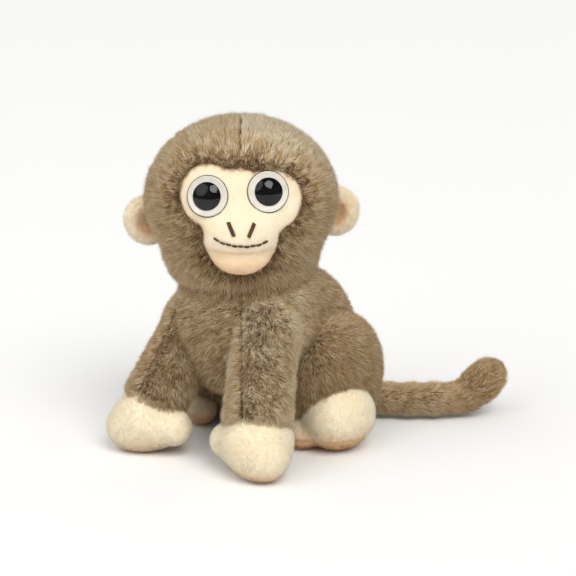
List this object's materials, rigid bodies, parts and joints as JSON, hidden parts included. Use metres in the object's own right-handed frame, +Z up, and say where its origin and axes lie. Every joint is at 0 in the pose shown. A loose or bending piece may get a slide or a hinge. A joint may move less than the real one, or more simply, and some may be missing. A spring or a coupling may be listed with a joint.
{
  "type": "stuffed monkey",
  "caption": "Plush monkey that sits on its haunches with both hands on the ground, with short cream pile on its face, ears, hands and feet, domed eyes and a long tail.",
  "frame": {"origin": "middle of the seat, the flat underside of the trunk, where it rests on the ground", "axes": "the trunk faces -Y, the monkey's own left is +X, +Z is up; the head is turned to its left by 35 degrees at rest"},
  "size_m": [0.1789, 0.1937, 0.192],
  "materials": {
    "brown_fur": "matte",
    "light_fur": "matte",
    "cream_plush": "matte",
    "peach_plush": "matte",
    "fibrefill": "matte",
    "thread": "satin",
    "clear_dome": "gloss",
    "silver_disc": "satin",
    "black_plastic": "gloss",
    "white_plastic": "matte"
  },
  "bodies": {
    "trunk": {"trunk_panel_left": "brown_fur", "trunk_panel_right": "brown_fur", "belly_panel": "brown_fur", "seat_panel": "brown_fur", "trunk_stuffing": "fibrefill"},
    "neck": {"neck_band": "brown_fur", "neck_stuffing": "fibrefill"},
    "head": {"head_panel_left": "light_fur", "head_panel_right": "brown_fur", "face_panel": "cream_plush", "chin_panel": "cream_plush", "head_stuffing": "fibrefill", "nostril_left": "thread", "nostril_right": "thread", "mouth_stitches": "thread", "eye_dome_left": "clear_dome", "eye_disc_left": "silver_disc", "eye_pupil_left": "black_plastic", "eye_post_left": "black_plastic", "eye_washer_left": "white_plastic", "eye_dome_right": "clear_dome", "eye_disc_right": "silver_disc", "eye_pupil_right": "black_plastic", "eye_post_right": "black_plastic", "eye_washer_right": "white_plastic"},
    "tail": {"tail_sleeve": "brown_fur", "tail_stuffing": "fibrefill"},
    "tail_tip": {"tail_tip_sleeve": "brown_fur", "tail_tip_stuffing": "fibrefill"},
    "ear_left": {"ear_front_left": "peach_plush", "ear_back_left": "cream_plush"},
    "arm_left": {"sleeve_outer_left": "brown_fur", "sleeve_inner_left": "brown_fur", "hand_top_left": "cream_plush", "palm_left": "peach_plush", "arm_stuffing_left": "fibrefill"},
    "leg_left": {"haunch_panel_left": "brown_fur", "foot_top_left": "cream_plush", "foot_sole_left": "peach_plush", "leg_stuffing_left": "fibrefill"},
    "ear_right": {"ear_front_right": "peach_plush", "ear_back_right": "cream_plush"},
    "arm_right": {"sleeve_outer_right": "brown_fur", "sleeve_inner_right": "brown_fur", "hand_top_right": "cream_plush", "palm_right": "peach_plush", "arm_stuffing_right": "fibrefill"},
    "leg_right": {"haunch_panel_right": "brown_fur", "foot_top_right": "cream_plush", "foot_sole_right": "peach_plush", "leg_stuffing_right": "fibrefill"}
  },
  "joints": [
    {"name": "head_turn", "type": "hinge", "parent": "trunk", "child": "neck", "pos_m": [0, -0.0385, 0.1], "axis": [0, 0, 1], "range_deg": [-45, 45], "stiffness_Nm_per_rad": 0.6},
    {"name": "head_nod", "type": "hinge", "parent": "neck", "child": "head", "pos_m": [0, -0.0385, 0.1], "axis": [0.8192, 0.5736, 0], "range_deg": [-9, 9], "stiffness_Nm_per_rad": 1.2},
    {"name": "ear_fold_left", "type": "hinge", "parent": "head", "child": "ear_left", "pos_m": [0.0308, -0.00229, 0.134], "axis": [0, 0, 1], "range_deg": [-20, 20], "stiffness_Nm_per_rad": 0.02},
    {"name": "ear_fold_right", "type": "hinge", "parent": "head", "child": "ear_right", "pos_m": [-0.04456, -0.05505, 0.129], "axis": [0, 0, -1], "range_deg": [-20, 20], "stiffness_Nm_per_rad": 0.02},
    {"name": "arm_swing_left", "type": "hinge", "parent": "trunk", "child": "arm_left", "pos_m": [0.026, -0.052, 0.074], "axis": [-1, 0, 0], "range_deg": [-1.5, 50], "stiffness_Nm_per_rad": 0.4},
    {"name": "arm_swing_right", "type": "hinge", "parent": "trunk", "child": "arm_right", "pos_m": [-0.026, -0.052, 0.074], "axis": [-1, 0, 0], "range_deg": [-1.5, 50], "stiffness_Nm_per_rad": 0.4},
    {"name": "leg_swing_left", "type": "hinge", "parent": "trunk", "child": "leg_left", "pos_m": [0.019, -0.0045, 0.036], "axis": [-1, 0, 0], "range_deg": [0, 18], "stiffness_Nm_per_rad": 0.6},
    {"name": "leg_swing_right", "type": "hinge", "parent": "trunk", "child": "leg_right", "pos_m": [-0.019, -0.0045, 0.036], "axis": [-1, 0, 0], "range_deg": [0, 18], "stiffness_Nm_per_rad": 0.6},
    {"name": "tail_swing", "type": "hinge", "parent": "trunk", "child": "tail", "pos_m": [0.008, 0.0355, 0.0118], "axis": [0, 0, 1], "range_deg": [0, 50], "stiffness_Nm_per_rad": 0.1},
    {"name": "tail_tip_bend", "type": "hinge", "parent": "tail", "child": "tail_tip", "pos_m": [0.08194, 0.06765, 0.0118], "axis": [0.7071, -0.7071, 0], "range_deg": [-12, 28], "stiffness_Nm_per_rad": 0.05}
  ]
}
